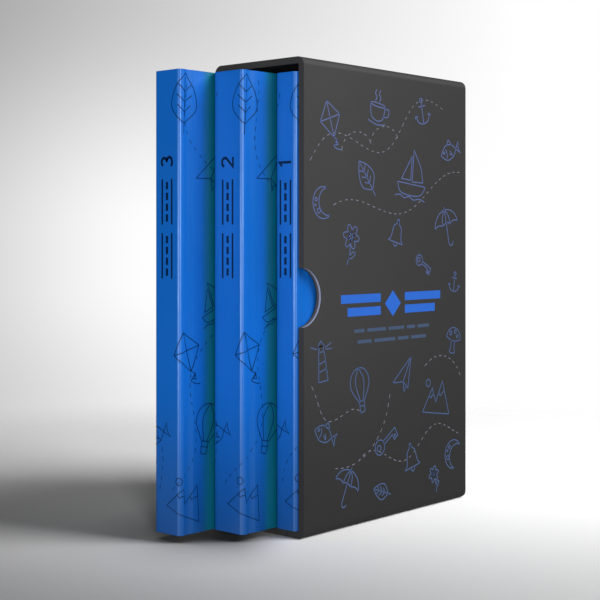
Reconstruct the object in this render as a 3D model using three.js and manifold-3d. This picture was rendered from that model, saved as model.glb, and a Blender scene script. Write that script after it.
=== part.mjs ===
// Book box: a rigid slipcase that stands on its base, open at one narrow side, with three case-bound
// books side by side in it. Millimetres. X runs across the books, Y runs into the case from its mouth
// (the mouth faces -Y), Z is up. The origin is the middle of the case's base.
import * as THREE from "three";
import { mergeVertices } from "three/addons/utils/BufferGeometryUtils.js";
import Module from "manifold-3d";

const wasm = await Module();
wasm.setup();

// Driving dimensions of the books
const bookHeight = 214.5;
const bookDepth = 130.5; // spine face to fore edge of the covers
const book1Thickness = 13.5;
const book2Thickness = 19.5;
const book3Thickness = 17.5;
const book1DrawnOut = 0; // how far a book stands past its place right in the case
const book2DrawnOut = 21.5;
const book3DrawnOut = 42.3;
const coverPaper = 0.25;
const coverBoard = 2;
const spineCard = 2;
const endPaper = 0.15;
const endPaperOpening = 0.1; // between the two leaves of a closed endpaper
const coverTurnIn = 14;
const square = 3; // how far the cover stands past the pages at head, tail and fore edge
const jointWidth = 6; // bare hinge between the spine card and a cover board
const jointDip = 0.5; // depth of the groove pressed along that hinge
const spineCornerRadius = 2.2;
const spineLiningPaper = 0.2;
const headBandHeight = 3;
const headBandBead = 1.2;

// Driving dimensions of the case
const caseBoard = 2.5;
const casePaper = 0.3;
const liningPaper = 0.3;
const caseCornerRadius = 4;
const mouthTurnIn = 12;
const backFlap = 14;
const backSheetMargin = 2;
const baseLip = 6; // how far the outer paper turns on to the flat of the base
const notchRadius = 14;
const notchDepth = 12.5;
const paperJoint = 0.3; // open seam where two edges of paper or board meet
const glueLine = 0.05; // between any two layers that are glued face to face

// Clearances of the books in the case
const headroom = 3.8;
const floorGap = 0.3;
const sideGap = 0.4;
const bookGap = 0.3;
const backGap = 0.3;
const spineProud = 1.3; // how far a spine stands out of the mouth when its book is right in

// Roundness
const cornerSteps = 8;
const notchSteps = 48;

// The books, from the printed side panel across
const books = [
  { name: "book_1", thickness: book1Thickness, drawnOut: book1DrawnOut },
  { name: "book_2", thickness: book2Thickness, drawnOut: book2DrawnOut },
  { name: "book_3", thickness: book3Thickness, drawnOut: book3DrawnOut },
];

// Sizes of the case that follow from the books
const wall = casePaper + glueLine + caseBoard + glueLine + liningPaper;
const backWall = casePaper + glueLine + wall;
const booksWidth = books.reduce((sum, book) => sum + book.thickness, 0) + bookGap * (books.length - 1);
const caseWidth = booksWidth + 2 * (sideGap + wall);
const caseHeight = wall + floorGap + bookHeight + headroom + wall;
const caseDepth = bookDepth - spineProud + backGap + backWall;
const mouthY = -caseDepth / 2;
const backY = caseDepth / 2;
const notchZ = caseHeight / 2;

// Colours
const charcoal = new THREE.MeshStandardMaterial({ color: 0x434344, roughness: 0.75, metalness: 0 });
const darkLining = new THREE.MeshStandardMaterial({ color: 0x1b1b1c, roughness: 0.85, metalness: 0 });
const greyBoard = new THREE.MeshStandardMaterial({ color: 0x9a978f, roughness: 0.9, metalness: 0 });
const bluePrint = new THREE.MeshStandardMaterial({ color: 0x1464c8, roughness: 0.45, metalness: 0 });
const pagePaper = new THREE.MeshStandardMaterial({ color: 0xeeeae0, roughness: 0.9, metalness: 0 });
const endLeaf = new THREE.MeshStandardMaterial({ color: 0x17527f, roughness: 0.8, metalness: 0 });
const craftPaper = new THREE.MeshStandardMaterial({ color: 0xb59a74, roughness: 0.9, metalness: 0 });
const bandCloth = new THREE.MeshStandardMaterial({ color: 0xdfe3ea, roughness: 0.8, metalness: 0 });

// Turns a closed three.js geometry into a solid that can be cut and joined.
function solid(geometry) {
  const bare = geometry.clone();
  bare.deleteAttribute("normal");
  bare.deleteAttribute("uv");
  const merged = mergeVertices(bare, 1e-4);
  return new wasm.Manifold(
    new wasm.Mesh({
      numProp: 3,
      vertProperties: new Float32Array(merged.attributes.position.array),
      triVerts: new Uint32Array(merged.index.array),
    }),
  );
}

// Turns a solid into a named mesh.
function meshOf(name, body, material) {
  const data = body.getMesh();
  const geometry = new THREE.BufferGeometry();
  geometry.setAttribute("position", new THREE.BufferAttribute(data.vertProperties, 3));
  geometry.setIndex(new THREE.BufferAttribute(data.triVerts, 1));
  geometry.computeVertexNormals();
  const mesh = new THREE.Mesh(geometry, material);
  mesh.name = name;
  return mesh;
}

// Extrudes a shape from one level to another along X, Y or Z. Every vertex gets the level's exact number,
// so faces that are meant to lie in one plane do.
function prism(shape, from, to, place) {
  const settings = { depth: 1, bevelEnabled: false, curveSegments: cornerSteps };
  const geometry = new THREE.ExtrudeGeometry(shape, settings);
  const position = geometry.attributes.position;
  for (let i = 0; i < position.count; i += 1) {
    const level = position.getZ(i) > 0.5 ? to : from;
    position.setXYZ(i, ...place(position.getX(i), position.getY(i), level));
  }
  return solid(geometry);
}

// A shape drawn in (y, z), extruded along X
function prismX(shape, xFrom, xTo) {
  return prism(shape, xFrom, xTo, (a, b, level) => [level, a, b]);
}

// A shape drawn in (x, z), extruded along Y
function prismY(shape, yFrom, yTo) {
  return prism(shape, yTo, yFrom, (a, b, level) => [a, level, b]);
}

// A shape drawn in (x, y), extruded along Z
function prismZ(shape, zFrom, zTo) {
  return prism(shape, zFrom, zTo, (a, b, level) => [a, b, level]);
}

function slab(from, to) {
  const [xFrom, yFrom, zFrom] = from;
  const [xTo, yTo, zTo] = to;
  const outline = polygon([
    [xFrom, yFrom],
    [xTo, yFrom],
    [xTo, yTo],
    [xFrom, yTo],
  ]);
  return prismZ(outline, zFrom, zTo);
}

function polygon(points) {
  return new THREE.Shape(points.map(([a, b]) => new THREE.Vector2(a, b)));
}

// The case's cross-section in (x, z), moved inwards by inset
function caseSection(inset) {
  const left = -caseWidth / 2 + inset;
  const right = caseWidth / 2 - inset;
  const bottom = inset;
  const top = caseHeight - inset;
  const radius = Math.max(caseCornerRadius - inset, 0.1);
  const shape = new THREE.Shape();
  shape.moveTo(left + radius, bottom);
  shape.lineTo(right - radius, bottom);
  shape.absarc(right - radius, bottom + radius, radius, -Math.PI / 2, 0, false);
  shape.lineTo(right, top - radius);
  shape.absarc(right - radius, top - radius, radius, 0, Math.PI / 2, false);
  shape.lineTo(left + radius, top);
  shape.absarc(left + radius, top - radius, radius, Math.PI / 2, Math.PI, false);
  shape.lineTo(left, bottom + radius);
  shape.absarc(left + radius, bottom + radius, radius, Math.PI, Math.PI * 1.5, false);
  return shape;
}

// The stretch of the case between two insets and two depths
function caseRing(insetFrom, insetTo, yFrom, yTo) {
  const outside = prismY(caseSection(insetFrom), yFrom, yTo);
  return outside.subtract(prismY(caseSection(insetTo), yFrom - 1, yTo + 1));
}

// The half-round thumb notch, as a bar through both side walls
function notchCutter() {
  const centreY = mouthY + notchDepth - notchRadius;
  const circle = new THREE.EllipseCurve(centreY, notchZ, notchRadius, notchRadius).getPoints(notchSteps);
  return prismX(new THREE.Shape(circle.slice(0, -1)), -caseWidth, caseWidth);
}

const boardInset = casePaper + glueLine;
const boardInner = boardInset + caseBoard;
const liningInset = boardInner + glueLine;
const backSheetFace = backY - casePaper;
const flapBack = backSheetFace - glueLine;
const flapFront = flapBack - casePaper;
const backBoardBack = flapFront - glueLine;
const backBoardFront = backBoardBack - caseBoard;
const backLiningBack = backBoardFront - glueLine;
const backLiningFront = backLiningBack - liningPaper;
const baseSheetHalf = caseWidth / 2 - caseCornerRadius - baseLip;

// One greyboard, folded round into a tube, its two ends butted in the middle of the base
function tubeBoard() {
  const ring = caseRing(boardInset, boardInner, mouthY + boardInset, backBoardBack);
  const seam = slab([-paperJoint / 2, mouthY - 1, -1], [paperJoint / 2, backY + 1, wall]);
  return ring.subtract(seam).subtract(notchCutter());
}

function backBoard() {
  return prismY(caseSection(liningInset), backBoardFront, backBoardBack);
}

// The charcoal paper round the outside: it turns in at the mouth and folds over the back board
function outerWrap() {
  const skin = caseRing(0, casePaper, mouthY, flapBack);
  const mouthEdge = caseRing(0, wall, mouthY, mouthY + casePaper);
  const turnIn = caseRing(liningInset, wall, mouthY, mouthY + mouthTurnIn);
  const flap = caseRing(0, backFlap, flapFront, flapBack);
  const baseGap = slab(
    [-baseSheetHalf, mouthY - 1, -1],
    [baseSheetHalf, backY + 1, backFlap + paperJoint],
  );
  return skin.add(mouthEdge).add(turnIn).add(flap).subtract(baseGap).subtract(notchCutter());
}

// The strip that covers the flat of the base, turned up at the mouth and at the back
function baseSheet() {
  const profile = polygon([
    [mouthY, 0],
    [flapBack, 0],
    [flapBack, backFlap],
    [flapFront, backFlap],
    [flapFront, casePaper],
    [mouthY + casePaper, casePaper],
    [mouthY + casePaper, liningInset],
    [mouthY + mouthTurnIn, liningInset],
    [mouthY + mouthTurnIn, wall],
    [mouthY, wall],
  ]);
  return prismX(profile, paperJoint - baseSheetHalf, baseSheetHalf - paperJoint);
}

function backSheet() {
  return prismY(caseSection(backSheetMargin), backSheetFace, backY);
}

function tubeLining() {
  const ring = caseRing(liningInset, wall, mouthY + mouthTurnIn + paperJoint, backLiningFront - glueLine);
  return ring.subtract(notchCutter());
}

function backLining() {
  return prismY(caseSection(liningInset), backLiningFront, backLiningBack);
}

function slipcase() {
  const group = new THREE.Group();
  group.add(
    meshOf("tube_board", tubeBoard(), greyBoard),
    meshOf("case_back_board", backBoard(), greyBoard),
    meshOf("outer_wrap", outerWrap(), charcoal),
    meshOf("base_sheet", baseSheet(), charcoal),
    meshOf("back_sheet", backSheet(), charcoal),
    meshOf("tube_lining", tubeLining(), darkLining),
    meshOf("back_lining", backLining(), darkLining),
  );
  return group;
}

// Each book is made in its own frame: x across its thickness from the middle, y from the spine face to
// the fore edge, z up from its tail.
const boardGap = coverPaper + glueLine;
const boardInside = boardGap + coverBoard;
const turnInInside = boardInside + glueLine + coverPaper;
const endPaperInset = turnInInside + glueLine;
const flyLeafInside = endPaperInset + 2 * endPaper + endPaperOpening;
const pageInset = flyLeafInside + glueLine;
const spineInside = boardGap + spineCard;
const spineTurnIn = spineInside + glueLine + coverPaper;
const boardStart = spineInside + jointWidth;
const boardEnd = bookDepth - boardGap;
const bandStart = spineTurnIn + glueLine;
const pagesStart = bandStart + headBandBead + glueLine + spineLiningPaper + glueLine;
const pagesEnd = bookDepth - square;

// The plan of the closed cover in (x, y): flat sides, a pressed groove at each joint, round spine corners
function coverPlan(half, inset) {
  const radius = Math.max(spineCornerRadius - inset, 0.1);
  const side = half - inset;
  const face = inset;
  const shape = new THREE.Shape();
  shape.moveTo(-side, bookDepth - inset);
  shape.lineTo(-side, boardStart);
  shape.quadraticCurveTo(-side + 2 * jointDip, boardStart - jointWidth / 2, -side, spineInside);
  shape.lineTo(-side, face + radius);
  shape.absarc(-side + radius, face + radius, radius, Math.PI, Math.PI * 1.5, false);
  shape.lineTo(side - radius, face);
  shape.absarc(side - radius, face + radius, radius, Math.PI * 1.5, Math.PI * 2, false);
  shape.lineTo(side, spineInside);
  shape.quadraticCurveTo(side - 2 * jointDip, boardStart - jointWidth / 2, side, boardStart);
  shape.lineTo(side, bookDepth - inset);
  return shape;
}

// One printed sheet round both boards and the spine card, turned in on all edges. Its inside leaf is a
// frame coverTurnIn wide, open in the middle.
function coverWrap(half) {
  const outside = prismZ(coverPlan(half, 0), 0, bookHeight);
  const boardSpace = prismZ(coverPlan(half, coverPaper), coverPaper, bookHeight - coverPaper);
  const leafInside = half - turnInInside;
  const leafOutside = leafInside + coverPaper;
  const leafStart = spineTurnIn - coverPaper;
  const insideLeaf = slab([-leafOutside, leafStart, 0], [leafOutside, bookDepth, bookHeight]);
  const pageRoom = slab([-leafInside, spineTurnIn, -1], [leafInside, bookDepth + 1, bookHeight + 1]);
  const window = slab(
    [-leafOutside, leafStart, coverTurnIn],
    [leafOutside, bookDepth - coverTurnIn, bookHeight - coverTurnIn],
  );
  return outside.subtract(boardSpace).add(insideLeaf).subtract(window).subtract(pageRoom);
}

function sideBoard(half, side) {
  const outer = half - boardGap;
  const inner = half - boardInside;
  return slab(
    [Math.min(side * outer, side * inner), boardStart, boardGap],
    [Math.max(side * outer, side * inner), boardEnd, bookHeight - boardGap],
  );
}

function spineBoard(half) {
  const width = half - boardGap;
  const radius = spineCornerRadius - boardGap;
  const shape = new THREE.Shape();
  shape.moveTo(-width, spineInside);
  shape.lineTo(-width, boardGap + radius);
  shape.absarc(-width + radius, boardGap + radius, radius, Math.PI, Math.PI * 1.5, false);
  shape.lineTo(width - radius, boardGap);
  shape.absarc(width - radius, boardGap + radius, radius, Math.PI * 1.5, Math.PI * 2, false);
  shape.lineTo(width, spineInside);
  return prismZ(shape, boardGap, bookHeight - boardGap);
}

// A folded leaf: one half pasted to the board, the other against the pages, joined along the spine side
function endPaperFold(half, side) {
  const outer = half - endPaperInset;
  const pastedInside = outer - endPaper;
  const flyOutside = pastedInside - endPaperOpening;
  const inner = flyOutside - endPaper;
  const foldStart = pagesStart;
  const shape = polygon(
    [
      [outer, foldStart],
      [outer, pagesEnd],
      [pastedInside, pagesEnd],
      [pastedInside, foldStart + endPaper],
      [flyOutside, foldStart + endPaper],
      [flyOutside, pagesEnd],
      [inner, pagesEnd],
      [inner, foldStart],
    ].map(([x, y]) => [side * x, y]),
  );
  return prismZ(shape, square, bookHeight - square);
}

function textBlock(half) {
  const side = half - pageInset;
  return slab([-side, pagesStart, square], [side, pagesEnd, bookHeight - square]);
}

// Paper and gauze glued over the back of the pages, between the two bands
function spineLining(half) {
  const side = half - pageInset;
  const back = pagesStart - glueLine;
  const end = square + headBandHeight;
  return slab([-side, back - spineLiningPaper, end], [side, back, bookHeight - end]);
}

// A woven band at the head or tail of the pages' back, with a round bead that stands past them
function headBand(half, atHead) {
  const side = half - pageInset;
  const back = pagesStart - glueLine;
  const edge = square;
  const bead = headBandBead / 2;
  const shape = new THREE.Shape();
  shape.moveTo(back, edge + headBandHeight - glueLine);
  shape.lineTo(back - spineLiningPaper, edge + headBandHeight - glueLine);
  shape.lineTo(back - spineLiningPaper, edge);
  shape.absarc(back - bead, edge - bead, bead, Math.PI * 0.75, Math.PI * 2, false);
  shape.lineTo(back, edge);
  const band = prismX(shape, -side, side);
  return atHead ? band.mirror([0, 0, 1]).translate([0, 0, bookHeight]) : band;
}

function bookOf({ name, thickness }) {
  const half = thickness / 2;
  const group = new THREE.Group();
  group.add(
    meshOf(`${name}_cover_wrap`, coverWrap(half), bluePrint),
    meshOf(`${name}_front_board`, sideBoard(half, 1), greyBoard),
    meshOf(`${name}_rear_board`, sideBoard(half, -1), greyBoard),
    meshOf(`${name}_spine_card`, spineBoard(half), greyBoard),
    meshOf(`${name}_front_endpaper`, endPaperFold(half, 1), endLeaf),
    meshOf(`${name}_rear_endpaper`, endPaperFold(half, -1), endLeaf),
    meshOf(`${name}_pages`, textBlock(half), pagePaper),
    meshOf(`${name}_spine_lining`, spineLining(half), craftPaper),
    meshOf(`${name}_head_band`, headBand(half, true), bandCloth),
    meshOf(`${name}_tail_band`, headBand(half, false), bandCloth),
  );
  return group;
}

const bookBox = new THREE.Group();
bookBox.add(slipcase());

let bookRight = caseWidth / 2 - wall - sideGap;
for (const book of books) {
  const group = bookOf(book);
  const spineY = mouthY - spineProud - book.drawnOut;
  group.position.set(bookRight - book.thickness / 2, spineY, wall + floorGap);
  bookRight -= book.thickness + bookGap;
  bookBox.add(group);
}

export default bookBox;
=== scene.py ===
import math
import random

import bpy
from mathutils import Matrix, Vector


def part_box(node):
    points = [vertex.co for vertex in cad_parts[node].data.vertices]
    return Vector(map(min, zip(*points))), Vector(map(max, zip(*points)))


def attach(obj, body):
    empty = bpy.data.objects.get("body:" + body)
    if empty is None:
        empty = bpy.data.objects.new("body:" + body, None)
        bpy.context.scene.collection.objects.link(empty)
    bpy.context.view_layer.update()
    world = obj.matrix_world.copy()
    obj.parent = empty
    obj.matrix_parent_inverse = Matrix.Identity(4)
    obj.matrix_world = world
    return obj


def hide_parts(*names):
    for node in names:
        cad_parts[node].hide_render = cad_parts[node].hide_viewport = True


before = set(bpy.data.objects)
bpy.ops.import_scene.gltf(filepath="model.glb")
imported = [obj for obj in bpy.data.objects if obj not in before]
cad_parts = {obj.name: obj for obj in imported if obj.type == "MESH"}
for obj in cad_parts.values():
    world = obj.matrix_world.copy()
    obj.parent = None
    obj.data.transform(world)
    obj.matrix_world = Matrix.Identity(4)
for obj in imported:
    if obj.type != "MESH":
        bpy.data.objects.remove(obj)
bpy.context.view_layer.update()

# Sizes in metres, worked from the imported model
MM = 0.001
case_low, case_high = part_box("outer_wrap")
CASE_WIDTH = case_high.x - case_low.x
CASE_HEIGHT = case_high.z
MOUTH_Y = case_low.y
BACK_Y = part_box("back_sheet")[1].y
CASE_DEPTH = BACK_Y - MOUTH_Y
CASE_CORNER = 4 * MM
SPINE_CORNER = 2.2 * MM

# The groove pressed along a cover's joint: where it starts and ends behind the spine, and its depth
JOINT_START = 2.3 * MM
JOINT_END = 8.3 * MM
JOINT_DIP = 0.5 * MM

# How far ink goes below and above the surface
INK_SUNK = 0.02 * MM
INK_PROUD = 0.03 * MM

# Widths of printed lines, and lengths of a dash and of the space after it
PANEL_LINE = 0.55 * MM
COVER_LINE = 0.45 * MM
DASH_LINE = 0.36 * MM
DASH = 2.4 * MM
DASH_SPACE = 2.0 * MM

# Plain edge between the print and the mouth, the back, a cover's head and tail, and its fore edge
MOUTH_MARGIN = 0.6 * MM
BACK_MARGIN = 1.5 * MM
COVER_MARGIN = 1.2 * MM
FORE_EDGE_MARGIN = 3 * MM

# How much the edges of papers are softened
WRAP_EDGE = 0.14 * MM
SHEET_EDGE = 0.1 * MM

# Longest straight stretch of a line on flats, where the surface under it bends, along dashes and in bars
FLAT_STEP = 4 * MM
FINE_STEP = 0.4 * MM
DASH_STEP = 0.6 * MM
BAR_STEP = 2 * MM

# Colours, as linear red, green, blue
CHARCOAL = (0.0370, 0.0365, 0.0368)
# The darker charcoal is both the paper's cloudy tone and the painted shade at the case's foot and back
CHARCOAL_DARK = (0.0180, 0.0180, 0.0187)
LINING_BLACK = (0.0080, 0.0080, 0.0085)
# Pale lavender of the painted highlight on the board's cut edge
BOARD_RIM_HIGHLIGHT = (0.300, 0.320, 0.420)
BOARD_GREY = (0.080, 0.078, 0.080)
BINDERS_BOARD = (0.330, 0.310, 0.270)
BINDERS_BOARD_DARK = (0.250, 0.235, 0.200)
COVER_BLUE = (0.0010, 0.1230, 0.5300)
# Deep blue of the painted shade at the foot of the covers
COVER_FOOT_SHADE = (0.0010, 0.0560, 0.2350)
COVER_TEAL = (0.0010, 0.1400, 0.2000)
COVER_GLOSS = (0.50, 0.70, 1.0, 1.0)
NAVY_LINE = (0.0005, 0.0200, 0.0850)
NAVY_TITLE = (0.0002, 0.0080, 0.0400)
LAVENDER_LINE = (0.0780, 0.1100, 0.2700)
BLUE_LINE = (0.0500, 0.0920, 0.2150)
LAVENDER_DASH = (0.1900, 0.1900, 0.2400)
TITLE_BLUE = (0.0240, 0.1200, 0.5200)
TITLE_DIM = (0.0500, 0.0760, 0.1350)
PAGE_CREAM = (0.830, 0.800, 0.710)
PAGE_AGED = (0.800, 0.750, 0.640)
ENDPAPER_BLUE = (0.0080, 0.0850, 0.2100)
BAND_PALE = (0.720, 0.750, 0.820)
BAND_BLUE = (0.0200, 0.1200, 0.4200)
KRAFT = (0.460, 0.330, 0.180)


def grey(level):
    return (level, level, level)


def add_to_scene(thing):
    bpy.context.scene.collection.objects.link(thing)


# Camera, fitted to the photograph's edges. It looks level, along (-0.6613, 0.750) on the plan.
PHOTO_SIZE = 600
HORIZON_ROW = 239
FOCAL_PIXELS = 1299
CAMERA_AZIMUTH = math.atan2(0.6613, 0.750)
CAMERA_PLACE = (0.4266, -0.5200, 0.1398)
SENSOR = 36


def make_camera():
    data = bpy.data.cameras.new("camera")
    data.sensor_width = SENSOR
    data.lens = FOCAL_PIXELS * SENSOR / PHOTO_SIZE
    data.shift_y = (HORIZON_ROW - PHOTO_SIZE / 2) / PHOTO_SIZE
    camera = bpy.data.objects.new("camera", data)
    camera.location = CAMERA_PLACE
    camera.rotation_euler = (math.pi / 2, 0, CAMERA_AZIMUTH)
    add_to_scene(camera)
    bpy.context.scene.camera = camera


# Light
def area_light(name, place, target, size, watts):
    data = bpy.data.lights.new(name, "AREA")
    data.shape = "RECTANGLE"
    data.size, data.size_y = size
    data.energy = watts
    lamp = bpy.data.objects.new(name, data)
    lamp.location = place
    aim = Vector(target) - Vector(place)
    lamp.rotation_euler = aim.to_track_quat("-Z", "Y").to_euler()
    add_to_scene(lamp)


def make_lights():
    middle = (0, 0, 0.11)
    area_light("key_right", (0.76, 0.38, 0.88), middle, (0.60, 0.75), 16.3)
    area_light("camera_strip", (0.92, -0.82, 0.25), (0, -0.05, 0.18), (0.18, 0.22), 6.2)
    area_light("front_low", (0.05, -1.30, 0.09), (0, -0.05, 0.14), (0.70, 0.16), 7)
    area_light("back_low", (-0.85, 0.95, 0.11), (0, 0, 0.12), (0.80, 0.18), 2.5)


# Node trees
class NodeTree:
    """Short ways to add and wire nodes in a tree."""

    def __init__(self, tree):
        self.tree = tree

    def add(self, kind, **inputs):
        node = self.tree.nodes.new(kind)
        for key, value in inputs.items():
            node.inputs[key.replace("_", " ")].default_value = value
        return node

    def wire(self, source, target):
        self.tree.links.new(source, target)

    def place(self):
        return self.add("ShaderNodeTexCoord").outputs["Object"]

    def noise(self, scale, detail, stretch=None):
        node = self.add("ShaderNodeTexNoise", Scale=scale, Detail=detail)
        source = self.place()
        if stretch:
            mapping = self.add("ShaderNodeMapping", Scale=stretch)
            self.wire(source, mapping.inputs["Vector"])
            source = mapping.outputs["Vector"]
        self.wire(source, node.inputs["Vector"])
        return node.outputs["Fac"]

    def span(self, value, low, high, to_low=0.0, to_high=1.0, shape="SMOOTHSTEP"):
        node = self.add("ShaderNodeMapRange")
        node.interpolation_type = shape
        for index, number in enumerate((low, high, to_low, to_high), start=1):
            node.inputs[index].default_value = number
        self.wire(value, node.inputs[0])
        return node.outputs[0]

    def axis(self, name):
        node = self.add("ShaderNodeSeparateXYZ")
        self.wire(self.place(), node.inputs[0])
        return node.outputs[name]

    def mix(self, factor, low, high):
        node = self.add("ShaderNodeMix")
        node.data_type = "RGBA"
        self.wire(factor, node.inputs[0])
        for socket, colour in ((node.inputs[6], low), (node.inputs[7], high)):
            if isinstance(colour, tuple):
                socket.default_value = (*colour, 1)
            else:
                self.wire(colour, socket)
        return node.outputs[2]


class Shader(NodeTree):
    """A principled material."""

    def __init__(self, name, roughness):
        self.material = bpy.data.materials.new(name)
        self.material.use_nodes = True
        super().__init__(self.material.node_tree)
        self.surface = self.tree.nodes["Principled BSDF"]
        self.surface.inputs["Roughness"].default_value = roughness

    def colour(self, output):
        self.wire(output, self.surface.inputs["Base Color"])

    def gloss(self, level, tint=None):
        self.surface.inputs["Specular IOR Level"].default_value = level
        if tint:
            self.surface.inputs["Specular Tint"].default_value = tint

    def rough(self, value, low, high):
        self.wire(self.span(value, 0.3, 0.7, low, high), self.surface.inputs["Roughness"])

    def bump(self, height, distance):
        """Adds relief to what the material has already."""
        node = self.add("ShaderNodeBump", Strength=1.0, Distance=distance)
        self.wire(height, node.inputs["Height"])
        previous = self.surface.inputs["Normal"].links
        if previous:
            self.wire(previous[0].from_socket, node.inputs["Normal"])
        self.wire(node.outputs["Normal"], self.surface.inputs["Normal"])


def case_paper():
    """Charcoal paper, darker towards the foot and the back, which is painted shade."""
    shader = Shader("case_paper", 0.6)
    shader.gloss(0.25)
    cloud = shader.noise(14, 3)
    grain = shader.noise(2600, 2)
    # Painted shade: the charcoal darkens towards the foot and towards the back of the case
    painted_foot_shade = shader.span(shader.axis("Z"), 0.0, 0.5 * CASE_HEIGHT, 1.0, 0.0)
    painted_back_shade = shader.span(shader.axis("Y"), MOUTH_Y, BACK_Y, 0.0, 0.45)
    shaded = shader.mix(painted_back_shade, shader.mix(painted_foot_shade, CHARCOAL, CHARCOAL_DARK), CHARCOAL_DARK)
    shader.colour(shader.mix(shader.span(cloud, 0.35, 0.65, 0.0, 0.18), shaded, CHARCOAL_DARK))
    shader.rough(cloud, 0.56, 0.64)
    shader.bump(grain, 0.02 * MM)
    shader.bump(shader.noise(160, 1), 0.01 * MM)
    return shader.material


def lining_paper():
    shader = Shader("lining_paper", 0.8)
    grain = shader.noise(1800, 2)
    shader.colour(shader.mix(grain, LINING_BLACK, CHARCOAL_DARK))
    shader.bump(grain, 0.03 * MM)
    return shader.material


# Width of the painted highlight along the outer face of the board's cut edge, and how soft its inner edge is
RIM_HIGHLIGHT_WIDTH = 1.5 * MM
RIM_HIGHLIGHT_BLEND = 0.3 * MM


def grey_board():
    """Grey board whose cut edge in the notches has a pale band along its outer face, a painted highlight on
    the notch's rim, and darker grey beyond that also stands in for shade.
    """
    shader = Shader("greyboard", 0.85)
    fibres = shader.noise(900, 4, (1, 1, 0.25))
    across = shader.add("ShaderNodeMath")
    across.operation = "ABSOLUTE"
    shader.wire(shader.axis("X"), across.inputs[0])
    pale_from = CASE_WIDTH / 2 - RIM_HIGHLIGHT_WIDTH
    rim_highlight = shader.span(across.outputs[0], pale_from, pale_from + RIM_HIGHLIGHT_BLEND)
    speckled = shader.mix(fibres, BOARD_GREY, tuple(0.7 * part for part in BOARD_GREY))
    shader.colour(shader.mix(rim_highlight, speckled, BOARD_RIM_HIGHLIGHT))
    shader.bump(fibres, 0.05 * MM)
    return shader.material


def plain_board():
    shader = Shader("bookbinding_board", 0.85)
    fibres = shader.noise(900, 4)
    shader.colour(shader.mix(fibres, BINDERS_BOARD, BINDERS_BOARD_DARK))
    shader.bump(fibres, 0.05 * MM)
    return shader.material


# How far behind the spine a cover's blue starts to shade into teal, and where it is all teal
TEAL_FROM = 12.5 * MM
TEAL_FULL = 19.5 * MM


def cover_print(name, spine_y):
    """Satin blue that runs round the spine and shades into teal on the sides, with painted shade towards the
    foot.
    """
    shader = Shader(name, 0.33)
    shader.gloss(0.85, COVER_GLOSS)
    # Painted shade: the blue darkens towards the foot of the book
    cover_foot_shade = shader.span(shader.axis("Z"), -0.01, 0.085, 1.0, 0.0)
    blue = shader.mix(cover_foot_shade, COVER_BLUE, COVER_FOOT_SHADE)
    far_back = shader.span(shader.axis("Y"), spine_y + TEAL_FROM, spine_y + TEAL_FULL)
    shader.colour(shader.mix(far_back, blue, COVER_TEAL))
    shader.rough(shader.noise(40, 3), 0.31, 0.36)
    shader.bump(shader.noise(2200, 2), 0.008 * MM)
    shader.bump(shader.noise(110, 1), 0.02 * MM)
    return shader.material


def ink(name, colour, roughness=0.45):
    shader = Shader(name, roughness)
    shader.gloss(0.3, COVER_GLOSS)
    worn = shader.noise(700, 3)
    lighter = tuple(min(1.0, 1.12 * part) for part in colour)
    darker = tuple(0.90 * part for part in colour)
    shader.colour(shader.mix(worn, darker, lighter))
    shader.bump(shader.noise(2600, 2), 0.008 * MM)
    return shader.material


def case_line_ink(name):
    """Line print that is lavender at the top of the panel and bluer towards its foot."""
    shader = Shader(name, 0.45)
    shader.colour(shader.mix(shader.span(shader.axis("Z"), 0.05, 0.19), BLUE_LINE, LAVENDER_LINE))
    shader.bump(shader.noise(2600, 2), 0.008 * MM)
    return shader.material


def page_edges():
    shader = Shader("page_edges", 0.9)
    leaves = shader.noise(1.0, 3, (9000, 60, 60))
    blotch = shader.noise(40, 2)
    shade = shader.mix(leaves, tuple(0.86 * part for part in PAGE_CREAM), PAGE_CREAM)
    shader.colour(shader.mix(shader.span(blotch, 0.4, 0.8, 0, 0.25), shade, PAGE_AGED))
    shader.bump(leaves, 0.05 * MM)
    return shader.material


def soft_paper(name, colour):
    shader = Shader(name, 0.85)
    fibres = shader.noise(1400, 3)
    shader.colour(shader.mix(fibres, tuple(0.9 * part for part in colour), colour))
    shader.bump(fibres, 0.02 * MM)
    return shader.material


def band_weave():
    shader = Shader("band_weave", 0.7)
    wave = shader.add("ShaderNodeTexWave", Scale=160)
    wave.bands_direction = "X"
    shader.wire(shader.place(), wave.inputs["Vector"])
    shader.colour(shader.mix(shader.span(wave.outputs["Fac"], 0.45, 0.55), BAND_PALE, BAND_BLUE))
    shader.bump(shader.noise(5000, 1), 0.03 * MM)
    return shader.material


# Mesh helpers
def mesh_piece(name, vertices, faces, material, body, smooth=False):
    mesh = bpy.data.meshes.new(name)
    mesh.from_pydata(vertices, [], faces)
    mesh.update()
    for face in mesh.polygons:
        face.use_smooth = smooth
    piece = bpy.data.objects.new(name, mesh)
    mesh.materials.append(material)
    add_to_scene(piece)
    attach(piece, body)
    return piece


def dress(node, material, bevel=0.0):
    """Gives a CAD node its material, smooth round stretches and softened edges."""
    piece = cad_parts[node]
    piece.data.materials.clear()
    piece.data.materials.append(material)
    for face in piece.data.polygons:
        face.use_smooth = True
        face.material_index = 0
    if bevel:
        rounded = piece.modifiers.new("soft_edges", "BEVEL")
        rounded.width = bevel
        rounded.segments = 2
        rounded.limit_method = "ANGLE"
        rounded.angle_limit = math.radians(35)
    split = piece.modifiers.new("crisp_edges", "EDGE_SPLIT")
    split.split_angle = math.radians(32)


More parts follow.
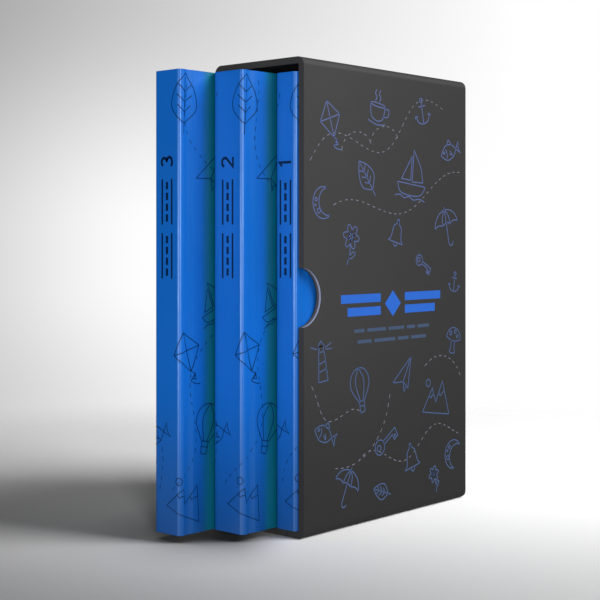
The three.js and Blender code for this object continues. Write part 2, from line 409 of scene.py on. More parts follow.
# Line drawings, in units where a motif is about 2 across, from -1 to 1
def arc(x, y, rx, ry, start, end, turn=0.0):
    steps = max(5, round(abs(end - start) / 14 * max(0.6, max(rx, ry) ** 0.5)))
    angles = [math.radians(start + (end - start) * i / steps) for i in range(steps + 1)]
    cos_turn, sin_turn = math.cos(math.radians(turn)), math.sin(math.radians(turn))
    points = [(rx * math.cos(a), ry * math.sin(a)) for a in angles]
    return [(x + cos_turn * p - sin_turn * q, y + sin_turn * p + cos_turn * q) for p, q in points]


def ring(x, y, radius, squash=1.0, turn=0.0):
    return arc(x, y, radius, radius * squash, 0, 360, turn)


def between(p, q, r, s, t):
    """A smooth step from q to r, a share t of the way, with p before it and s after it."""
    square = 2 * p - 5 * q + 4 * r - s
    cube = 3 * q - p - 3 * r + s
    return 0.5 * (2 * q + (r - p) * t + square * t**2 + cube * t**3)


CURVE_STEPS = 5


def curve(*points):
    """A smooth line through the points."""
    padded = [points[0], *points, points[-1]]
    line = []
    for four in zip(padded, padded[1:], padded[2:], padded[3:]):
        for i in range(CURVE_STEPS):
            line.append(tuple(between(*values, i / CURVE_STEPS) for values in zip(*four)))
    return [*line, points[-1]]


def kite():
    outline = [(0, 1), (0.62, 0.3), (0, -0.5), (-0.62, 0.3), (0, 1)]
    tail = curve((0, -0.5), (0.15, -0.68), (-0.1, -0.82), (0.08, -1), (0.3, -1.08))
    bow = [(-0.04, -0.78), (0.16, -0.62), (0.14, -0.84), (-0.04, -0.78)]
    return [outline, [(0, 1), (0, -0.5)], [(-0.62, 0.3), (0.62, 0.3)], tail, bow]


def boat():
    hull = curve((-0.9, -0.4), (-0.6, -0.8), (0.55, -0.8), (0.95, -0.4))
    leech = curve((0.05, 0.95), (0.55, 0.35), (0.75, -0.25))
    main_sail = [(0.05, -0.3), (0.05, 0.95), *leech, (0.05, -0.3)]
    jib = [(-0.05, -0.25), (-0.05, 0.7), (-0.65, -0.25), (-0.05, -0.25)]
    crests = [(-1, -0.95), (-0.7, -0.88), (-0.4, -0.98), (-0.1, -0.9), (0.2, -1), (0.6, -0.92), (0.95, -1)]
    wave = curve(*crests)
    return [hull, [(-0.9, -0.4), (0.95, -0.4)], main_sail, jib, wave]


def leaf():
    left = curve((0, -0.75), (-0.55, -0.2), (-0.42, 0.45), (0, 1))
    right = [(-x, y) for x, y in left]
    veins = []
    for level in (-0.35, 0.0, 0.35):
        veins.append([(0, level), (0.33 - 0.12 * abs(level), level + 0.26)])
        veins.append([(0, level), (-0.33 + 0.12 * abs(level), level + 0.26)])
    return [left, right, [(0, -1.1), (0, 0.85)], *veins]


def anchor():
    arms = curve((-0.85, -0.25), (-0.6, -0.75), (0, -0.95), (0.6, -0.75), (0.85, -0.25))
    barbs = [[(side * 0.62, -0.36), (side * 0.85, -0.25), (side * 0.98, -0.46)] for side in (-1, 1)]
    return [arms, *barbs, [(0, 0.62), (0, -0.95)], [(-0.42, 0.36), (0.42, 0.36)], ring(0, 0.79, 0.17)]


def moon():
    outer = arc(0, 0, 0.95, 0.95, 60, 300)
    inner = arc(0.42, 0, 0.83, 0.83, 86, 274)
    inner[0], inner[-1] = outer[0], outer[-1]
    return [outer, inner, ring(-0.62, 0.3, 0.1), ring(-0.5, -0.4, 0.14), ring(-0.74, -0.02, 0.06)]


def key():
    near_tooth = [(0.62, -0.1), (0.62, -0.42), (0.74, -0.42), (0.74, -0.2)]
    far_tooth = [(0.84, -0.2), (0.84, -0.42), (0.96, -0.42)]
    shaft = [(-0.22, 0.1), (1.0, 0.1), (1.0, -0.42), (0.96, -0.42)]
    return [ring(-0.58, 0, 0.4), ring(-0.66, 0, 0.16), shaft, [(-0.2, -0.1), *near_tooth, *far_tooth]]


def umbrella():
    dome = arc(0, 0.05, 0.95, 0.8, 0, 180)
    scallops = [arc(x, 0.05, 0.3167, 0.16, 0, 180) for x in (-0.633, 0, 0.633)]
    ribs = [curve((0, 0.85), (side * 0.24, 0.55), (side * 0.3167, 0.05)) for side in (-1, 1)]
    handle = [(0, 0.85), (0, -0.75), *arc(0.17, -0.75, 0.17, 0.2, 180, 360)]
    return [dome, *scallops, *ribs, handle, [(0, 0.85), (0, 1)]]


def flower():
    petals = []
    for i in range(6):
        angle = 60 * i
        x, y = 0.36 * math.cos(math.radians(angle)), 0.36 * math.sin(math.radians(angle))
        petals.append(ring(x, 0.4 + y, 0.26, 0.6, angle))
    stem = curve((0, 0.02), (0.06, -0.4), (-0.04, -1))
    blade = curve((0, -0.62), (0.28, -0.3), (0.46, -0.34), (0.3, -0.58), (0, -0.7))
    return [*petals, ring(0, 0.4, 0.16), stem, blade]


def fish():
    top = curve((-0.95, 0.05), (-0.4, 0.46), (0.25, 0.38), (0.62, 0.02))
    low = curve((-0.95, 0.05), (-0.4, -0.38), (0.25, -0.34), (0.62, 0.02))
    tail = [(0.62, 0.02), (1.0, 0.36), (0.9, 0.02), (1.0, -0.34), (0.62, 0.02)]
    back_fin = curve((-0.2, 0.43), (0.05, 0.72), (0.28, 0.35))
    side_fin = curve((-0.1, -0.05), (0.16, -0.22), (0.02, 0.08))
    return [top, low, tail, back_fin, side_fin, ring(-0.6, 0.12, 0.07), arc(-0.62, 0.02, 0.3, 0.36, -50, 50)]


def bell():
    side = curve((0.16, 0.72), (0.42, 0.5), (0.5, 0.0), (0.62, -0.34), (0.86, -0.52))
    other = [(-x, y) for x, y in side]
    clapper = arc(0, -0.58, 0.18, 0.22, 180, 360)
    crown = arc(0, 0.72, 0.16, 0.14, 0, 180)
    lip = [(-0.86, -0.52), (0.86, -0.52)]
    return [side, other, crown, lip, clapper, ring(0, 0.95, 0.1)]


def balloon():
    bag = [*arc(0, 0.35, 0.66, 0.66, -35, 215), (-0.2, -0.5), (0.2, -0.5)]
    bag.append(bag[0])
    gores = [curve((0, 1.01), (side * 0.3, 0.4), (side * 0.09, -0.5)) for side in (-1, 1)]
    basket = [(-0.18, -0.72), (0.18, -0.72), (0.14, -1), (-0.14, -1), (-0.18, -0.72)]
    ropes = [[(-0.18, -0.5), (-0.16, -0.72)], [(0.18, -0.5), (0.16, -0.72)]]
    return [bag, *gores, basket, *ropes]


def mountains():
    ridge = [(-1, -0.55), (-0.42, 0.52), (-0.08, -0.06), (0.3, 0.86), (1, -0.55)]
    low_snow = [(-0.6, 0.18), (-0.46, 0.08), (-0.38, 0.2), (-0.25, 0.23)]
    high_snow = [(0.08, 0.32), (0.24, 0.22), (0.36, 0.36), (0.5, 0.46)]
    return [ridge, [(-1, -0.55), (1, -0.55)], low_snow, high_snow, ring(-0.75, 0.72, 0.16)]


def paper_plane():
    wing = [(-1, 0.1), (1, 0.7), (-0.15, -0.25), (-1, 0.1)]
    fold = [(-0.15, -0.25), (0.1, -0.75), (1, 0.7)]
    return [wing, fold, [(-0.15, -0.25), (-0.3, -0.78), (0.02, -0.58)]]


def tea_cup():
    bowl = curve((-0.7, 0.15), (-0.55, -0.5), (-0.2, -0.72), (0.2, -0.72), (0.5, -0.5), (0.62, 0.15))
    handle = curve((0.6, 0.02), (0.95, 0.05), (0.92, -0.34), (0.5, -0.42))
    steam = [curve((x, 0.35), (x + 0.12, 0.55), (x - 0.05, 0.75), (x + 0.06, 0.98)) for x in (-0.3, 0.05)]
    saucer = curve((-0.8, -0.82), (0, -0.95), (0.75, -0.82))
    return [bowl, ring(-0.04, 0.15, 0.66, 0.16), handle, *steam, saucer]


def lighthouse():
    tower = [(-0.34, -0.95), (-0.2, 0.45), (0.2, 0.45), (0.34, -0.95), (-0.34, -0.95)]
    bands = [[(-0.3, -0.5), (0.3, -0.38)], [(-0.26, -0.12), (0.25, 0.0)]]
    lamp = [(-0.16, 0.45), (-0.16, 0.72), (0.16, 0.72), (0.16, 0.45)]
    rays = [[(0.3, 0.62), (0.75, 0.78)], [(0.3, 0.54), (0.8, 0.5)], [(-0.3, 0.62), (-0.75, 0.78)]]
    roof = [(-0.24, 0.72), (0, 0.98), (0.24, 0.72), (-0.24, 0.72)]
    return [tower, *bands, lamp, roof, *rays]


def mushroom():
    gills = curve((-0.85, 0.12), (-0.3, -0.05), (0.3, -0.05), (0.85, 0.12))
    cap = [*arc(0, 0.12, 0.85, 0.75, 0, 180), *gills]
    stem = curve((-0.24, -0.02), (-0.2, -0.5), (-0.3, -0.9), (0.3, -0.9), (0.2, -0.5), (0.24, -0.02))
    return [cap, stem, ring(-0.4, 0.42, 0.14), ring(0.12, 0.6, 0.12), ring(0.45, 0.32, 0.1)]


MOTIFS = (
    kite, boat, leaf, anchor, moon, key, umbrella, flower,
    fish, bell, balloon, mountains, paper_plane, tea_cup, lighthouse, mushroom,
)


# Surfaces that print lies on: each takes (along, up) in metres to a point and its outward normal
def flat_side(sign):
    """The case's side panel towards +X or -X, from left to right as one looks at it."""
    start_y = MOUTH_Y if sign > 0 else BACK_Y

    def place(along, up):
        return Vector((sign * CASE_WIDTH / 2, start_y + sign * along, up)), Vector((sign, 0, 0))

    return place


CORNER_STEPS = 8
GROOVE_STEPS = 12
PAST_FORE_EDGE = 0.2


def cover_path(half):
    """Points and arc lengths of the closed cover's plan, from the middle of the spine to a fore edge."""
    points = [(0.0, 0.0), (half - SPINE_CORNER, 0.0)]
    for i in range(1, CORNER_STEPS + 1):
        angle = math.radians(90 * i / CORNER_STEPS)
        x = half - SPINE_CORNER + SPINE_CORNER * math.sin(angle)
        points.append((x, SPINE_CORNER * (1 - math.cos(angle))))
    for i in range(GROOVE_STEPS + 1):
        t = i / GROOVE_STEPS
        dip = 4 * JOINT_DIP * t * (1 - t)
        points.append((half - dip, JOINT_START + (JOINT_END - JOINT_START) * t))
    points.append((half, PAST_FORE_EDGE))
    lengths = [0.0]
    for a, b in zip(points, points[1:]):
        lengths.append(lengths[-1] + math.dist(a, b))
    return points, lengths


def cover_surface(node):
    """The outside of a book's cover, unrolled from the middle of its spine: + along is the +X side."""
    low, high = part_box(node)
    half = (high.x - low.x) / 2
    centre_x = (high.x + low.x) / 2
    points, lengths = cover_path(half)

    def place(along, up):
        side = 1 if along >= 0 else -1
        reach = abs(along)
        step = next(i for i, length in enumerate(lengths[1:]) if reach <= length)
        a, b = points[step], points[step + 1]
        share = (reach - lengths[step]) / max(lengths[step + 1] - lengths[step], 1e-9)
        x = a[0] + (b[0] - a[0]) * share
        y = a[1] + (b[1] - a[1]) * share
        tangent = Vector((b[0] - a[0], b[1] - a[1])).normalized()
        normal = Vector((side * tangent.y, -tangent.x, 0))
        return Vector((centre_x + side * x, low.y + y, low.z + up)), normal

    return place


# Ink laid on a surface
class Print:
    """Gathers thin closed strips of ink on one surface and makes them one piece.

    area: where the print starts and ends, as low along, low up, high along, high up.
    bend: the distances from the surface's middle between which it isn't flat.
    """

    def __init__(self, surface, area, bend=(1.0, 1.0)):
        self.surface = surface
        self.area = area
        self.bend = bend
        self.vertices = []
        self.faces = []

    def inside(self, along, up):
        low_along, low_up, high_along, high_up = self.area
        return low_along < along < high_along and low_up < up < high_up

    def strip(self, left, right):
        """A closed strip between two rows of points."""
        first = len(self.vertices)
        for pair in zip(left, right):
            for level in (-INK_SUNK, INK_PROUD):
                for along, up in pair:
                    point, normal = self.surface(along, up)
                    self.vertices.append(point + normal * level)
        count = len(left)
        for i in range(count - 1):
            a, b = first + 4 * i, first + 4 * (i + 1)
            self.faces += [
                (a + 2, b + 2, b + 3, a + 3),
                (a, a + 1, b + 1, b),
                (a, b, b + 2, a + 2),
                (a + 1, a + 3, b + 3, b + 1),
            ]
        last = first + 4 * (count - 1)
        self.faces += [(first, first + 2, first + 3, first + 1), (last, last + 1, last + 3, last + 2)]

    def stroke(self, points, width):
        """A line of even width, cut where it leaves the printed area."""
        run = []
        for point in [*points, None]:
            if point is not None and self.inside(*point):
                if not run or math.dist(run[-1], point) > 1e-5:
                    run.append(point)
                continue
            if len(run) > 1:
                self._draw(run, width)
            run = []

    def _draw(self, run, width):
        left, right = [], []
        for i, (along, up) in enumerate(run):
            before = run[max(i - 1, 0)]
            after = run[min(i + 1, len(run) - 1)]
            into = Vector((along - before[0], up - before[1]))
            out = Vector((after[0] - along, after[1] - up))
            into = into.normalized() if into.length else out.normalized()
            out = out.normalized() if out.length else into
            way = (into + out).normalized() if (into + out).length > 0.2 else out
            spread = width / 2 / max(0.5, way.dot(out))
            across = Vector((-way.y, way.x)) * spread
            left.append((along + across.x, up + across.y))
            right.append((along - across.x, up - across.y))
        self.strip(left, right)

    def bar(self, along, up, length, width):
        """A solid bar along the first direction."""
        steps = max(2, round(length / BAR_STEP))
        row = [along + length * (i / steps - 0.5) for i in range(steps + 1)]
        self.strip([(a, up + width / 2) for a in row], [(a, up - width / 2) for a in row])

    def motif(self, drawing, along, up, size, turn, width):
        """A line drawing, size being half its height."""
        cos_turn, sin_turn = math.cos(turn), math.sin(turn)
        for line in drawing():
            placed = []
            for x, y in line:
                right = cos_turn * x - sin_turn * y
                above = sin_turn * x + cos_turn * y
                placed.append((along + size * right, up + size * above))
            self.stroke(self._even(placed), width)

    def _even(self, points, step=FLAT_STEP):
        """Splits long straight stretches, finely where the surface under them bends."""
        low_bend, high_bend = self.bend
        line = [points[0]]
        for a, b in zip(points, points[1:]):
            near, far = sorted((abs(a[0]), abs(b[0])))
            crosses = a[0] * b[0] < 0 and far > low_bend
            bent = crosses or (far > low_bend and near < high_bend)
            parts = max(1, math.ceil(math.dist(a, b) / (FINE_STEP if bent else step)))
            for i in range(1, parts + 1):
                line.append((a[0] + (b[0] - a[0]) * i / parts, a[1] + (b[1] - a[1]) * i / parts))
        return line

    def dashes(self, path):
        """A dashed line along a path."""
        travelled, run = 0.0, []
        line = self._even(path, DASH_STEP)
        for a, b in zip(line, line[1:]):
            if travelled % (DASH + DASH_SPACE) < DASH:
                run.append(b)
            elif len(run) > 1:
                self.stroke(run, DASH_LINE)
                run = []
            travelled += math.dist(a, b)

    def piece(self, name, material, body, slot):
        mesh_piece(name, self.vertices, self.faces, material, body)


PATH_STEPS = 60


def wave_path(start, end, height, turns, phase):
    """A gently swinging line between two points."""
    way = Vector(end) - Vector(start)
    across = Vector((-way.y, way.x)).normalized()
    path = []
    for i in range(PATH_STEPS + 1):
        share = i / PATH_STEPS
        swing = height * math.sin(2 * math.pi * turns * share + phase)
        point = Vector(start) + way * share + across * swing
        path.append((point.x, point.y))
    return path


CURL_STEPS = 40


def curl_path(start, end, loops, size):
    """A line from start to end with round loops on the way."""
    way = Vector(end) - Vector(start)
    across = Vector((-way.y, way.x)).normalized()
    steps = CURL_STEPS * loops
    path = []
    for i in range(steps + 1):
        angle = 2 * math.pi * loops * i / steps
        offset = way.normalized() * -size * math.sin(angle) + across * size * (1 - math.cos(angle))
        point = Vector(start) + way * i / steps + offset
        path.append((point.x, point.y))
    return path


def in_metres(point):
    return (point[0] * MM, point[1] * MM)


# The case
def dress_case(board):
    paper = case_paper()
    lining = lining_paper()
    dress("outer_wrap", paper, WRAP_EDGE)
    dress("base_sheet", paper, SHEET_EDGE)
    dress("back_sheet", paper, SHEET_EDGE)
    dress("tube_board", grey_board())
    dress("case_back_board", board)
    dress("tube_lining", lining)
    dress("back_lining", lining)


# Print of a side panel, in millimetres along from its left edge and up.
# Motifs: along, up, half height, and turn in degrees
PANEL_MOTIFS = (
    (kite, 20, 194, 12, 18), (tea_cup, 56, 205, 9, -8), (anchor, 93, 206, 7, 12),
    (fish, 118, 186, 9, 20), (boat, 84, 173, 13, -6), (leaf, 47, 170, 10, 38),
    (moon, 14, 157, 8, 10), (umbrella, 115, 146, 11, 14), (bell, 71, 142, 7.5, -14),
    (flower, 34, 137, 10, -12), (anchor, 122, 117, 5.5, -10), (key, 94, 127, 7, -28),
    (lighthouse, 13, 82, 10, 6), (mushroom, 121, 86, 7.5, -12), (balloon, 42, 66, 11, 10),
    (paper_plane, 77, 70, 9.5, 22), (mountains, 106, 55, 12, -8), (fish, 15, 47, 8.5, -22),
    (key, 62, 39, 9.5, 32), (bell, 84, 27, 8, 12), (moon, 121, 25, 8, -24),
    (umbrella, 31, 20, 10, -26), (leaf, 59, 14, 7, 72), (flower, 104, 14, 7, 16),
)
# Dashed waves: start, end, height, turns and phase
PANEL_WAVES = (
    ((4, 176), (112, 208), 9, 1.5, 0.0),
    ((22, 150), (130, 170), 7, 1.2, 1.0),
    ((3, 66), (40, 50), 6, 1.0, 2.0),
    ((40, 28), (129, 40), 6, 1.6, 0.5),
)
# Dashed curls: start, end, loops and their size
PANEL_CURLS = (
    ((28, 182), (72, 190), 2, 4),
    ((66, 62), (20, 30), 1, 6),
    ((95, 74), (128, 66), 1, 4),
)
# Bars of the ornament: from its middle outwards and up, and length
ORNAMENT_BARS = ((25.5, 3.2, 31), (23.0, -3.2, 26))
ORNAMENT_BAR_HEIGHT = 4.2
ORNAMENT_MIDDLE = 68
ORNAMENT_UP = 107.5
DIAMOND_HALF = 6.5
# Rows of short bars under the ornament: up, and the lengths of the bars
SHORT_BAR_ROWS = ((95.0, (8, 15, 13, 7, 10)), (89.6, (11, 17, 9, 13)))
SHORT_BAR_SPACE = 2.2
SHORT_BAR_HEIGHT = 1.7
# Thickness of the diamond at its two pointed ends
HAIR = 0.01


def panel_lines(sheet):
    for drawing, along, up, size, turn in PANEL_MOTIFS:
        sheet.motif(drawing, along * MM, up * MM, size * MM, math.radians(turn), PANEL_LINE)


def panel_dashes(sheet):
    for start, end, height, turns, phase in PANEL_WAVES:
        sheet.dashes(wave_path(in_metres(start), in_metres(end), height * MM, turns, phase))
    for start, end, loops, size in PANEL_CURLS:
        sheet.dashes(curl_path(in_metres(start), in_metres(end), loops, size * MM))


def panel_ornament(sheet):
    """A diamond with two bars on either side."""
    for side in (-1, 1):
        for out, above, length in ORNAMENT_BARS:
            along = ORNAMENT_MIDDLE + side * out
            sheet.bar(along * MM, (ORNAMENT_UP + above) * MM, length * MM, ORNAMENT_BAR_HEIGHT * MM)
    left = ORNAMENT_MIDDLE - DIAMOND_HALF
    right = ORNAMENT_MIDDLE + DIAMOND_HALF
    top = (ORNAMENT_MIDDLE, ORNAMENT_UP + DIAMOND_HALF)
    foot = (ORNAMENT_MIDDLE, ORNAMENT_UP - DIAMOND_HALF)
    upper = [(left, ORNAMENT_UP), top, (right, ORNAMENT_UP)]
    lower = [(left, ORNAMENT_UP - HAIR), foot, (right, ORNAMENT_UP - HAIR)]
    sheet.strip([in_metres(point) for point in upper], [in_metres(point) for point in lower])


def panel_bars(sheet):
    """Two rows of short bars, each row in the middle under the ornament."""
    for up, lengths in SHORT_BAR_ROWS:
        along = ORNAMENT_MIDDLE - (sum(lengths) + SHORT_BAR_SPACE * (len(lengths) - 1)) / 2
        for length in lengths:
            sheet.bar((along + length / 2) * MM, up * MM, length * MM, SHORT_BAR_HEIGHT * MM)
            along += length + SHORT_BAR_SPACE


def print_case_side(sign):
    """The print of the side panel towards +X or -X, a piece for each colour."""
    name = "right" if sign > 0 else "left"
    area = (MOUTH_MARGIN, CASE_CORNER, CASE_DEPTH - BACK_MARGIN, CASE_HEIGHT - CASE_CORNER)
    layers = (
        ("line", panel_lines, case_line_ink(f"case_{name}_line_ink")),
        ("dash", panel_dashes, ink(f"case_{name}_dash_ink", LAVENDER_DASH)),
        ("ornament", panel_ornament, ink(f"case_{name}_ornament_ink", TITLE_BLUE)),
        ("bar", panel_bars, ink(f"case_{name}_bar_ink", TITLE_DIM)),
    )
    for layer, draw, material in layers:
        sheet = Print(flat_side(sign), area)
        draw(sheet)
        sheet.piece(f"case_{name}_{layer}_print", material, "slipcase", "case_paper")


# The books. Leaves of the page block, and how deep the gaps between leaves and between sections are
LEAF = 0.16 * MM
LEAF_DIP = 0.05 * MM
SECTION_DIP = 0.14 * MM
LEAVES_IN_SECTION = 8

# Cord of a head or tail band, and the thread wound round it, with its least and added reach as
# shares of the cord's radius
BAND_CORD = 1.2 * MM
THREAD = 0.5 * MM
THREAD_STEPS = 6
THREAD_SIDES = 12
THREAD_REACH = 0.97
THREAD_RISE = 0.10

# Motifs on a cover
SCATTER_COLUMNS = 8
SCATTER_ROWS = 7
SCATTER_SIZE = 11.5 * MM
SCATTER_STAGGER = 0.22
SCATTER_SEED = 44

# Print of a spine, in millimetres: rules, short bars between them and the numeral
SPINE_RULES = ((118, 139), (143, 164))
SPINE_RULE_OUT = 3.2
SPINE_RULE_WIDTH = 1.0
SPINE_BARS = (121, 126, 131, 136, 146, 151, 156, 161)
SPINE_BAR_HALF = 1.7
SPINE_BAR_WIDTH = 1.5
NUMERAL_UP = 172
NUMERAL_SIZE = 4.8
NUMERAL_WIDTH = 1.3
TITLE_LOW = 118 * MM
TITLE_HIGH = 178 * MM
COVER_INK_ROUGHNESS = 0.38


def numeral(value):
    """A plain figure as strokes, 1 wide and 1.5 high, standing upright."""
    if value == 1:
        return [[(-0.3, 0.45), (0.05, 0.75), (0.05, -0.75)]]
    if value == 2:
        return [[*arc(0, 0.35, 0.42, 0.4, 165, -30), (-0.45, -0.72), (0.48, -0.72)]]
    upper = arc(-0.02, 0.38, 0.4, 0.36, 150, -90)
    lower = arc(-0.02, -0.34, 0.46, 0.38, 90, -150)
    return [upper, lower]


def shared_materials():
    """What the parts of all the books are made of, apart from their printed covers."""
    return {
        "board": plain_board(),
        "end_leaf": soft_paper("endpaper", ENDPAPER_BLUE),
        "kraft": soft_paper("kraft", KRAFT),
        "weave": band_weave(),
        "page_edges": page_edges(),
    }


def dress_book(number, materials):
    book = f"book_{number}"
    wrap = f"{book}_cover_wrap"
    spine_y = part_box(wrap)[0].y
    dress(wrap, cover_print(f"{book}_cover_print", spine_y), SHEET_EDGE)
    for part in ("front_board", "rear_board", "spine_card"):
        dress(f"{book}_{part}", materials["board"])
    for part in ("front_endpaper", "rear_endpaper"):
        dress(f"{book}_{part}", materials["end_leaf"])
    dress(f"{book}_spine_lining", materials["kraft"])
    for end in ("head", "tail"):
        dress(f"{book}_{end}_band", materials["weave"])
        band_thread(number, end, materials["weave"])
    page_block(number, materials["page_edges"])


def band_thread(number, end, weave):
    """The thread wound round the cord of a head or tail band."""
    node = f"book_{number}_{end}_band"
    low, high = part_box(node)
    radius = BAND_CORD / 2
    y = high.y - radius
    z = high.z - radius if end == "head" else low.z + radius
    steps = round((high.x - low.x) / THREAD * THREAD_STEPS)
    vertices, faces = [], []
    for i in range(steps + 1):
        along = (high.x - low.x) * i / steps
        reach = radius * (THREAD_REACH + THREAD_RISE * abs(math.sin(math.pi * along / THREAD)))
        for j in range(THREAD_SIDES):
            angle = 2 * math.pi * j / THREAD_SIDES
            vertices.append((low.x + along, y + reach * math.cos(angle), z + reach * math.sin(angle)))
    for i in range(steps):
        for j in range(THREAD_SIDES):
            a, b = THREAD_SIDES * i + j, THREAD_SIDES * i + (j + 1) % THREAD_SIDES
            faces.append((a, b, b + THREAD_SIDES, a + THREAD_SIDES))
    last = THREAD_SIDES * steps
    faces += [tuple(reversed(range(THREAD_SIDES))), tuple(range(last, last + THREAD_SIDES))]
    mesh_piece(f"{node}_thread", vertices, faces, weave, f"book_{number}", smooth=True)


def page_block(number, material):
    """The text block with its leaves as fine ridges at head, tail and fore edge."""
    node = f"book_{number}_pages"
    low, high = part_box(node)
    leaves = round((high.x - low.x) / LEAF)
    vertices, faces = [], []
    for i in range(2 * leaves + 1):
        x = low.x + (high.x - low.x) * i / (2 * leaves)
        between_sections = i % (2 * LEAVES_IN_SECTION) == 1
        dip = i % 2 * (SECTION_DIP if between_sections else LEAF_DIP)
        vertices += [
            (x, low.y, low.z + dip),
            (x, high.y - dip, low.z + dip),
            (x, high.y - dip, high.z - dip),
            (x, low.y, high.z - dip),
        ]
    for i in range(2 * leaves):
        for j in range(4):
            a, b = 4 * i + j, 4 * i + (j + 1) % 4
            faces.append((a, b, b + 4, a + 4))
    last = 8 * leaves
    faces += [(3, 2, 1, 0), (last, last + 1, last + 2, last + 3)]
    block = mesh_piece(f"{node}_leaves", vertices, faces, material, f"book_{number}")
    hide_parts(node)


def scatter(sheet, half):
    """Motifs on a staggered grid over a cover, each turned and placed a little by chance, and none on
    the spine's title. half: half the book's thickness."""
    dice = random.Random(SCATTER_SEED)
    low_along, low_up, high_along, high_up = sheet.area
    pitch_along = (high_along - low_along) / SCATTER_COLUMNS
    pitch_up = (high_up - low_up) / SCATTER_ROWS
    order = list(MOTIFS)
    dice.shuffle(order)
    for row in range(SCATTER_ROWS):
        for column in range(SCATTER_COLUMNS):
            stagger = SCATTER_STAGGER if row % 2 else -SCATTER_STAGGER
            along = low_along + pitch_along * (column + 0.5 + stagger)
            up = low_up + pitch_up * (row + 0.5)
            along += dice.uniform(-0.12, 0.12) * pitch_along
            up += dice.uniform(-0.14, 0.14) * pitch_up
            size = SCATTER_SIZE * dice.uniform(0.80, 1.20)
            turn = math.radians(dice.uniform(-28, 28))
            drawing = order[(5 * row + 3 * column) % len(order)]
            on_spine = abs(along) < half + 0.45 * size
            if on_spine and TITLE_LOW - 1.1 * size < up < TITLE_HIGH + 0.9 * size:
                continue
            sheet.motif(drawing, along, up, size, turn, COVER_LINE)


def cover_dashes(sheet, half, number):
    """Two dashed waves on either side of the spine."""
    for side in (-1, 1):
        low_start = (side * 4 * MM, 20 * MM)
        low_end = (side * (half + 26 * MM), 110 * MM)
        sheet.dashes(wave_path(low_start, low_end, 7 * MM, 1.3, number))
        high_start = (side * (half + 3 * MM), 208 * MM)
        high_end = (side * (half + 40 * MM), 120 * MM)
        sheet.dashes(wave_path(high_start, high_end, 8 * MM, 1.2, number))


def spine_title(sheet, number):
    """Two pairs of rules with short bars between them, and the volume's numeral above."""
    for side in (-1, 1):
        for low_end, high_end in SPINE_RULES:
            ends = [(side * SPINE_RULE_OUT * MM, low_end * MM), (side * SPINE_RULE_OUT * MM, high_end * MM)]
            sheet.stroke(ends, SPINE_RULE_WIDTH * MM)
    for centre in SPINE_BARS:
        levels = (centre - SPINE_BAR_HALF, centre, centre + SPINE_BAR_HALF)
        sheet.stroke([(0, level * MM) for level in levels], SPINE_BAR_WIDTH * MM)
    for line in numeral(number):
        turned = [(-NUMERAL_SIZE * y * MM, (NUMERAL_UP + NUMERAL_SIZE * x) * MM) for x, y in line]
        sheet.stroke(turned, NUMERAL_WIDTH * MM)


def print_cover(number):
    """The print of one cover, from fore edge round the spine to the other fore edge."""
    book = f"book_{number}"
    low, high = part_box(f"{book}_cover_wrap")
    half = (high.x - low.x) / 2
    depth = high.y - low.y
    height = high.z - low.z
    reach = half + depth - FORE_EDGE_MARGIN
    surface = cover_surface(f"{book}_cover_wrap")
    area = (-reach, COVER_MARGIN, reach, height - COVER_MARGIN)

    line_ink = ink(f"{book}_line_ink", NAVY_LINE, COVER_INK_ROUGHNESS)
    lines = Print(surface, area, (half - SPINE_CORNER, half + JOINT_END))
    scatter(lines, half)
    cover_dashes(lines, half, number)
    lines.piece(f"{book}_line_print", line_ink, book, "cover_print")

    title_ink = ink(f"{book}_title_ink", NAVY_TITLE, COVER_INK_ROUGHNESS)
    title = Print(surface, area)
    spine_title(title, number)
    title.piece(f"{book}_title_print", title_ink, book, "cover_print")


# Floor and backdrop. Both shade along the camera's own right-hand and forward directions, which are
# fixed directions in the room.
ROOM_RIGHT = (math.cos(CAMERA_AZIMUTH), math.sin(CAMERA_AZIMUTH), 0.0)
ROOM_AHEAD = (-math.sin(CAMERA_AZIMUTH), math.cos(CAMERA_AZIMUTH), 0.0)
FLOOR_HALF = 3.0
FLOOR_FADE = (0.20, 0.50)
FLOOR_BOUNCE = 0.45
ROOM_LIGHT = 0.04

# Contact shade on the floor's left: its reach, how dark it gets, and where it ends towards the right
CONTACT_REACH = 0.06
CONTACT_SHADE = 0.1
CONTACT_SIDE = (-0.055, -0.025)
CONTACT_SAMPLES = 16

# Greys that run from left to right: where each starts and ends, and its two tones
# The floor's two greys are a painted falloff of the light, darker to the left and to the front
FLOOR_NEAR = ((-0.20, 0.12), (0.21, 0.50))
FLOOR_FAR = ((-0.36, 0.02), (0.66, 1.25))
ROOM_FOOT = ((-0.34, 0.0), (0.50, 1.0))
ROOM_LEVEL = ((-0.30, -0.10), (0.59, 1.0))
ROOM_HIGH = ((-0.30, 0.163), (0.30, 1.0))

# Where the near grey turns into the far one, the foot's into the level one, and that into the high one
NEAR_TO_FAR = (-0.25, 0.13)
FOOT_TO_LEVEL = (-0.13, -0.03)
LEVEL_TO_HIGH = (0.0, 0.19)


def along_direction(shader, source, direction):
    node = shader.add("ShaderNodeVectorMath")
    node.operation = "DOT_PRODUCT"
    shader.wire(source, node.inputs[0])
    node.inputs[1].default_value = direction
    return node.outputs["Value"]


def tone(shader, value, span, tones, shape="SMOOTHSTEP"):
    """A grey that goes from the first tone to the second while the value crosses the span."""
    low, high = tones
    return shader.mix(shader.span(value, *span, shape=shape), grey(low), grey(high))


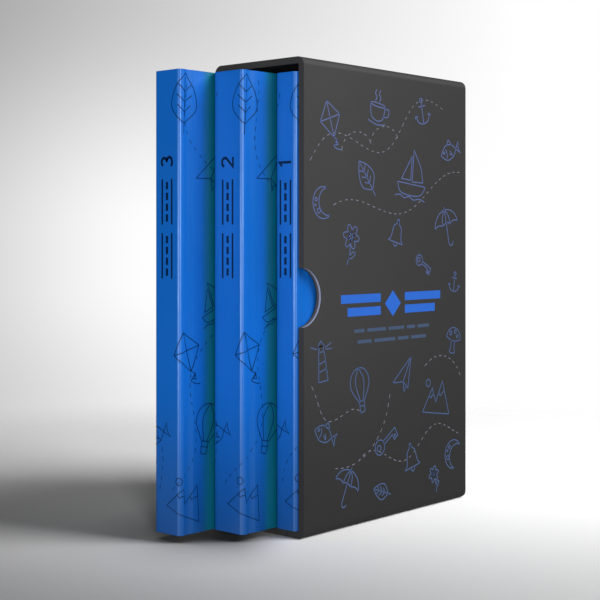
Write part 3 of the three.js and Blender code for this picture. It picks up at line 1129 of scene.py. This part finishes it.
def floor_material():
    """Pale floor, darker to the left and to the front as painted light falloff, with a painted contact shade
    at its left foot, that fades into the room behind.
    """
    shader = Shader("floor", 0.8)
    shader.gloss(0.1)
    place = shader.place()
    to_right = along_direction(shader, place, ROOM_RIGHT)
    ahead = along_direction(shader, place, ROOM_AHEAD)
    near = tone(shader, to_right, *FLOOR_NEAR)
    far = tone(shader, to_right, *FLOOR_FAR)
    lit = shader.mix(shader.span(ahead, *NEAR_TO_FAR), near, far)
    nook = shader.add("ShaderNodeAmbientOcclusion", Distance=CONTACT_REACH)
    nook.samples = CONTACT_SAMPLES
    openness = shader.span(nook.outputs["AO"], 0.40, 1.0, CONTACT_SHADE, 1.0, "LINEAR")
    in_shade = shader.mix(openness, grey(0.0), lit)
    shown = shader.mix(shader.span(to_right, *CONTACT_SIDE), in_shade, lit)
    seen = shader.add("ShaderNodeLightPath").outputs["Is Camera Ray"]
    shader.colour(shader.mix(seen, grey(FLOOR_BOUNCE), shown))
    length = shader.add("ShaderNodeVectorMath")
    length.operation = "LENGTH"
    shader.wire(place, length.inputs[0])
    clear = shader.add("ShaderNodeBsdfTransparent")
    blend = shader.add("ShaderNodeMixShader")
    shader.wire(shader.span(length.outputs["Value"], *FLOOR_FADE), blend.inputs[0])
    shader.wire(shader.surface.outputs[0], blend.inputs[1])
    shader.wire(clear.outputs[0], blend.inputs[2])
    shader.wire(blend.outputs[0], shader.tree.nodes["Material Output"].inputs["Surface"])
    return shader.material


def make_floor():
    mesh = bpy.data.meshes.new("floor")
    corners = [(-1, -1), (1, -1), (1, 1), (-1, 1)]
    mesh.from_pydata([(x * FLOOR_HALF, y * FLOOR_HALF, 0) for x, y in corners], [], [(0, 1, 2, 3)])
    mesh.materials.append(floor_material())
    floor = bpy.data.objects.new("floor", mesh)
    add_to_scene(floor)


def make_room():
    """A plain pale room: even light for the object, and a soft grey to white gradient behind it."""
    world = bpy.data.worlds.new("room")
    world.use_nodes = True
    shader = NodeTree(world.node_tree)
    toward = shader.add("ShaderNodeTexCoord").outputs["Generated"]
    to_right = along_direction(shader, toward, ROOM_RIGHT)
    up = along_direction(shader, toward, (0, 0, 1))
    foot = tone(shader, to_right, *ROOM_FOOT)
    level = tone(shader, to_right, *ROOM_LEVEL)
    low = shader.mix(shader.span(up, *FOOT_TO_LEVEL), foot, level)
    high = tone(shader, to_right, *ROOM_HIGH, "LINEAR")
    seen = shader.mix(shader.span(up, *LEVEL_TO_HIGH), low, high)
    even = world.node_tree.nodes["Background"]
    even.inputs["Color"].default_value = (1, 1, 1, 1)
    even.inputs["Strength"].default_value = ROOM_LIGHT
    behind = shader.add("ShaderNodeBackground", Strength=1.0)
    shader.wire(seen, behind.inputs["Color"])
    blend = shader.add("ShaderNodeMixShader")
    shader.wire(shader.add("ShaderNodeLightPath").outputs["Is Camera Ray"], blend.inputs[0])
    shader.wire(even.outputs[0], blend.inputs[1])
    shader.wire(behind.outputs[0], blend.inputs[2])
    shader.wire(blend.outputs[0], world.node_tree.nodes["World Output"].inputs["Surface"])
    bpy.context.scene.world = world


make_camera()
make_lights()
make_floor()
make_room()
book_materials = shared_materials()
dress_case(book_materials["board"])
print_case_side(1)
print_case_side(-1)
for book_number in (1, 2, 3):
    dress_book(book_number, book_materials)
    print_cover(book_number)

bpy.context.scene.view_settings.view_transform = "Standard"
